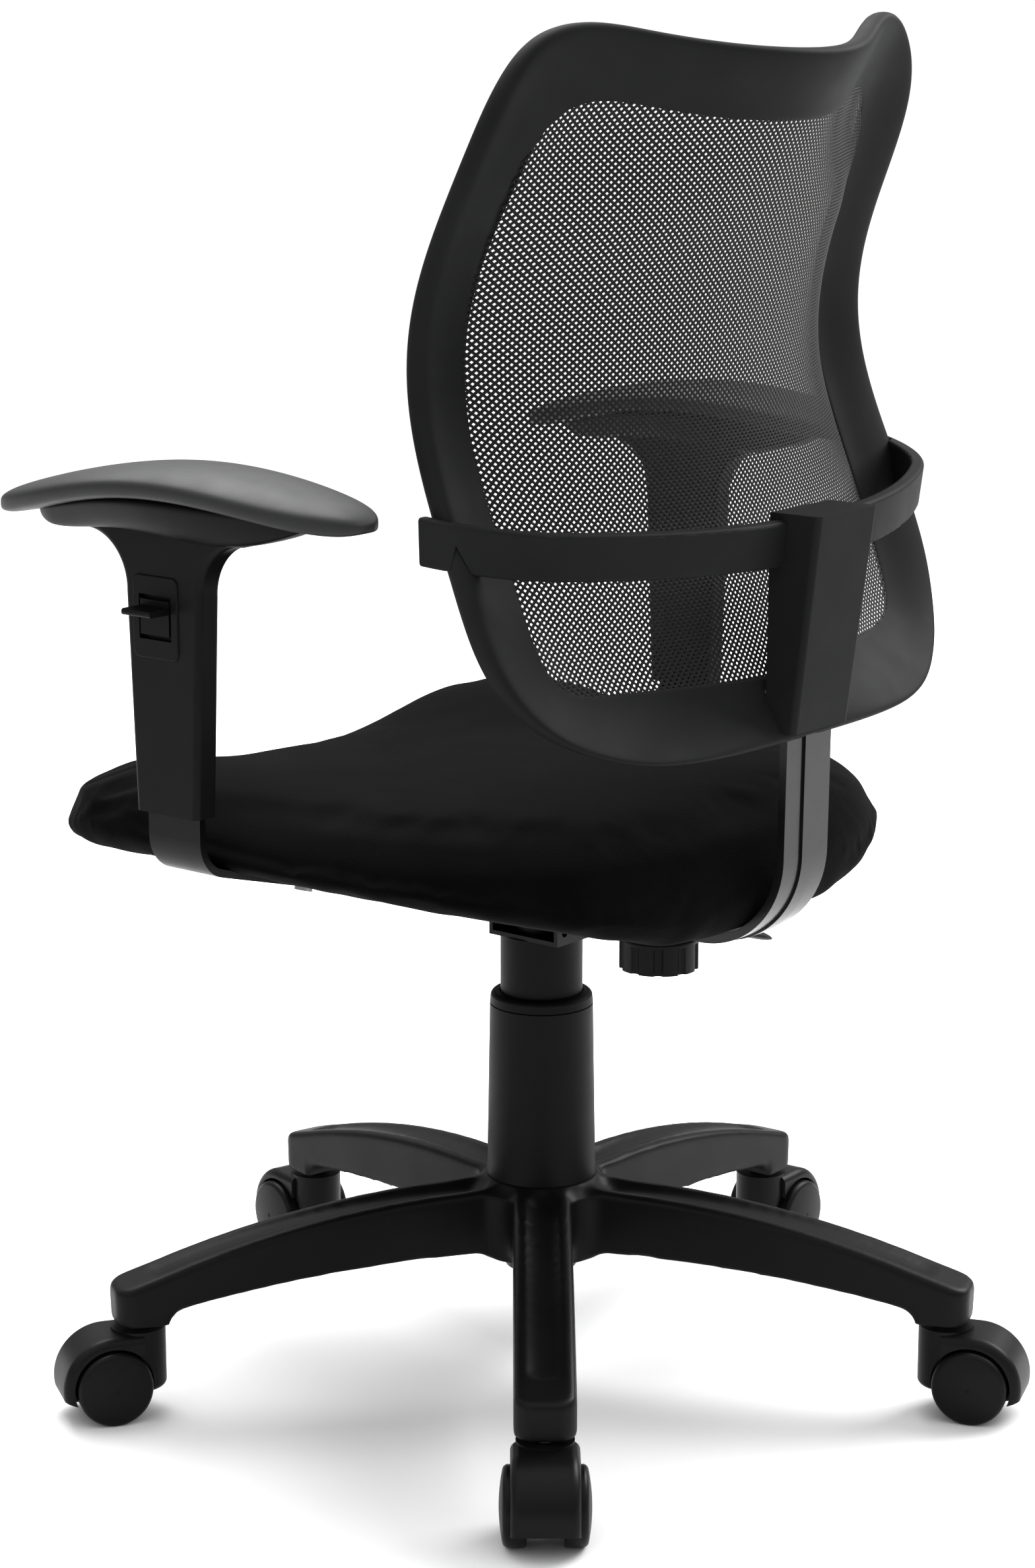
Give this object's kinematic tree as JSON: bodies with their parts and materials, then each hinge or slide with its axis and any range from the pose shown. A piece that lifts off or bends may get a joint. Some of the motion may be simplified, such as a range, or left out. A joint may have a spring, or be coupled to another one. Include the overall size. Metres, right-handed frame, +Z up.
{
  "type": "swivel office chair",
  "caption": "Swivel task chair with a mesh back, upholstered seat, height-adjustable arms and a five-star base on twin-wheel casters.",
  "frame": {"origin": "on the floor, on the gas column's axis", "axes": "+Z up; the chair faces -Y; +X is the sitter's left"},
  "size_m": [0.6433, 0.6464, 0.908],
  "materials": {
    "base_nylon": "satin moulded glass-filled nylon",
    "caster_nylon": "semi-gloss moulded nylon",
    "zinc_steel": "zinc-plated steel",
    "column_steel": "black powder-coated steel",
    "rod_steel": "ground and chromed",
    "bushing_nylon": "natural acetal",
    "cover_plastic": "satin polypropylene",
    "plate_steel": "black powder-coated steel, semi-gloss",
    "bar_steel": "black gloss powder-coated steel",
    "birch_ply": "raw birch plywood",
    "seat_fabric": "black woven polyester over foam",
    "mesh_fabric": "open black polyester mesh",
    "back_plastic": "fine-grained satin polypropylene",
    "arm_plastic": "satin nylon",
    "pad_skin": "matt integral-skin polyurethane",
    "lever_plastic": "satin nylon"
  },
  "bodies": {
    "base": {"star_base": "base_nylon", "caster_stems": "zinc_steel", "column_tube": "column_steel", "column_bushing": "bushing_nylon", "thrust_bearing": "zinc_steel", "lower_column_cover": "cover_plastic"},
    "lift_rod": {"piston_rod": "rod_steel", "piston_head": "zinc_steel", "column_clip": "zinc_steel"},
    "seat": {"gas_cylinder": "column_steel", "upper_column_cover": "cover_plastic", "seat_plate": "plate_steel", "seat_board": "birch_ply", "seat_cushion": "seat_fabric", "tee_nuts": "zinc_steel", "mech_bolts": "zinc_steel", "arm_bracket_left": "plate_steel", "arm_bracket_right": "plate_steel", "arm_bracket_bolts": "zinc_steel"},
    "valve": {"valve_pin": "zinc_steel"},
    "lever": {"lever_rod": "plate_steel", "lever_paddle": "lever_plastic"},
    "knob": {"clamp_knob": "lever_plastic", "knob_stud": "zinc_steel"},
    "bar": {"back_bar": "bar_steel"},
    "back": {"back_frame": "back_plastic", "back_mesh": "mesh_fabric", "back_spine": "back_plastic", "back_bow": "back_plastic", "back_screws": "zinc_steel"},
    "arm_left": {"arm_sleeve_left": "arm_plastic", "arm_lock_cover_left": "arm_plastic", "arm_pad_carrier_left": "arm_plastic", "arm_pad_left": "pad_skin"},
    "tab_left": {"arm_tab_left": "arm_plastic"},
    "arm_right": {"arm_sleeve_right": "arm_plastic", "arm_lock_cover_right": "arm_plastic", "arm_pad_carrier_right": "arm_plastic", "arm_pad_right": "pad_skin"},
    "tab_right": {"arm_tab_right": "arm_plastic"},
    "caster_1": {"caster_hood_1": "caster_nylon", "caster_axle_1": "zinc_steel"},
    "wheel_1_left": {"caster_wheel_1_left": "caster_nylon"},
    "wheel_1_right": {"caster_wheel_1_right": "caster_nylon"},
    "caster_2": {"caster_hood_2": "caster_nylon", "caster_axle_2": "zinc_steel"},
    "wheel_2_left": {"caster_wheel_2_left": "caster_nylon"},
    "wheel_2_right": {"caster_wheel_2_right": "caster_nylon"},
    "caster_3": {"caster_hood_3": "caster_nylon", "caster_axle_3": "zinc_steel"},
    "wheel_3_left": {"caster_wheel_3_left": "caster_nylon"},
    "wheel_3_right": {"caster_wheel_3_right": "caster_nylon"},
    "caster_4": {"caster_hood_4": "caster_nylon", "caster_axle_4": "zinc_steel"},
    "wheel_4_left": {"caster_wheel_4_left": "caster_nylon"},
    "wheel_4_right": {"caster_wheel_4_right": "caster_nylon"},
    "caster_5": {"caster_hood_5": "caster_nylon", "caster_axle_5": "zinc_steel"},
    "wheel_5_left": {"caster_wheel_5_left": "caster_nylon"},
    "wheel_5_right": {"caster_wheel_5_right": "caster_nylon"}
  },
  "joints": [
    {"name": "seat_swivel", "type": "hinge", "parent": "base", "child": "lift_rod", "pos_m": [0, 0, 0.2], "axis": [0, 0, 1], "continuous": true},
    {"name": "seat_height", "type": "slide", "parent": "lift_rod", "child": "seat", "axis": [0, 0, 1], "range_m": [-0.035, 0.075]},
    {"name": "height_lever", "type": "hinge", "parent": "seat", "child": "lever", "pos_m": [-0.03338, 0.00649, 0.3263], "axis": [0.1908, 0.9816, 0], "range_deg": [0, 5], "stiffness_Nm_per_rad": 2, "springref_deg": -2.86},
    {"name": "valve_press", "type": "slide", "parent": "seat", "child": "valve", "axis": [0, 0, -1], "range_m": [0, 0.003], "stiffness_N_per_m": 400},
    {"name": "back_depth", "type": "slide", "parent": "seat", "child": "bar", "axis": [0, 1, 0], "range_m": [-0.004, 0.036]},
    {"name": "clamp_knob_turn", "type": "hinge", "parent": "seat", "child": "knob", "pos_m": [0, 0.098, 0.307], "axis": [0, 0, 1], "range_deg": [0, 540]},
    {"name": "back_height", "type": "slide", "parent": "bar", "child": "back", "axis": [0, 0.0175, 0.9998], "range_m": [0, 0.06]},
    {"name": "arm_height_left", "type": "slide", "parent": "seat", "child": "arm_left", "axis": [0, 0, 1], "range_m": [0, 0.06]},
    {"name": "arm_tab_left", "type": "hinge", "parent": "arm_left", "child": "tab_left", "pos_m": [0.2747, -0.078, 0.558], "axis": [0, -1, 0], "range_deg": [0, 15], "stiffness_Nm_per_rad": 0.3},
    {"name": "arm_height_right", "type": "slide", "parent": "seat", "child": "arm_right", "axis": [0, 0, 1], "range_m": [0, 0.06]},
    {"name": "arm_tab_right", "type": "hinge", "parent": "arm_right", "child": "tab_right", "pos_m": [-0.2747, -0.078, 0.558], "axis": [0, 1, 0], "range_deg": [0, 15], "stiffness_Nm_per_rad": 0.3},
    {"name": "caster_1_swivel", "type": "hinge", "parent": "base", "child": "caster_1", "pos_m": [0.21807, 0.17722, 0.06], "axis": [0, 0, 1], "continuous": true},
    {"name": "wheel_1_left_spin", "type": "hinge", "parent": "caster_1", "child": "wheel_1_left", "pos_m": [0.23398, 0.19015, 0.025], "axis": [-0.6307, 0.776, 0], "continuous": true},
    {"name": "wheel_1_right_spin", "type": "hinge", "parent": "caster_1", "child": "wheel_1_right", "pos_m": [0.23398, 0.19015, 0.025], "axis": [-0.6307, 0.776, 0], "continuous": true},
    {"name": "caster_2_swivel", "type": "hinge", "parent": "base", "child": "caster_2", "pos_m": [-0.10116, 0.26216, 0.06], "axis": [0, 0, 1], "continuous": true},
    {"name": "wheel_2_left_spin", "type": "hinge", "parent": "caster_2", "child": "wheel_2_left", "pos_m": [-0.10854, 0.28129, 0.025], "axis": [-0.933, -0.36, 0], "continuous": true},
    {"name": "wheel_2_right_spin", "type": "hinge", "parent": "caster_2", "child": "wheel_2_right", "pos_m": [-0.10854, 0.28129, 0.025], "axis": [-0.933, -0.36, 0], "continuous": true},
    {"name": "caster_3_swivel", "type": "hinge", "parent": "base", "child": "caster_3", "pos_m": [-0.28059, -0.0152, 0.06], "axis": [0, 0, 1], "continuous": true},
    {"name": "wheel_3_left_spin", "type": "hinge", "parent": "caster_3", "child": "wheel_3_left", "pos_m": [-0.30106, -0.01631, 0.025], "axis": [0.0541, -0.9985, 0], "continuous": true},
    {"name": "wheel_3_right_spin", "type": "hinge", "parent": "caster_3", "child": "wheel_3_right", "pos_m": [-0.30106, -0.01631, 0.025], "axis": [0.0541, -0.9985, 0], "continuous": true},
    {"name": "caster_4_swivel", "type": "hinge", "parent": "base", "child": "caster_4", "pos_m": [-0.07225, -0.27155, 0.06], "axis": [0, 0, 1], "continuous": true},
    {"name": "wheel_4_left_spin", "type": "hinge", "parent": "caster_4", "child": "wheel_4_left", "pos_m": [-0.07753, -0.29136, 0.025], "axis": [0.9664, -0.2571, 0], "continuous": true},
    {"name": "wheel_4_right_spin", "type": "hinge", "parent": "caster_4", "child": "wheel_4_right", "pos_m": [-0.07753, -0.29136, 0.025], "axis": [0.9664, -0.2571, 0], "continuous": true},
    {"name": "caster_5_swivel", "type": "hinge", "parent": "base", "child": "caster_5", "pos_m": [0.23593, -0.15263, 0.06], "axis": [0, 0, 1], "continuous": true},
    {"name": "wheel_5_left_spin", "type": "hinge", "parent": "caster_5", "child": "wheel_5_left", "pos_m": [0.25315, -0.16377, 0.025], "axis": [0.5432, 0.8396, 0], "continuous": true},
    {"name": "wheel_5_right_spin", "type": "hinge", "parent": "caster_5", "child": "wheel_5_right", "pos_m": [0.25315, -0.16377, 0.025], "axis": [0.5432, 0.8396, 0], "continuous": true}
  ],
  "couplings": [
    {"joint": "valve_press", "follows": "height_lever", "m_per_rad": 0.034}
  ]
}
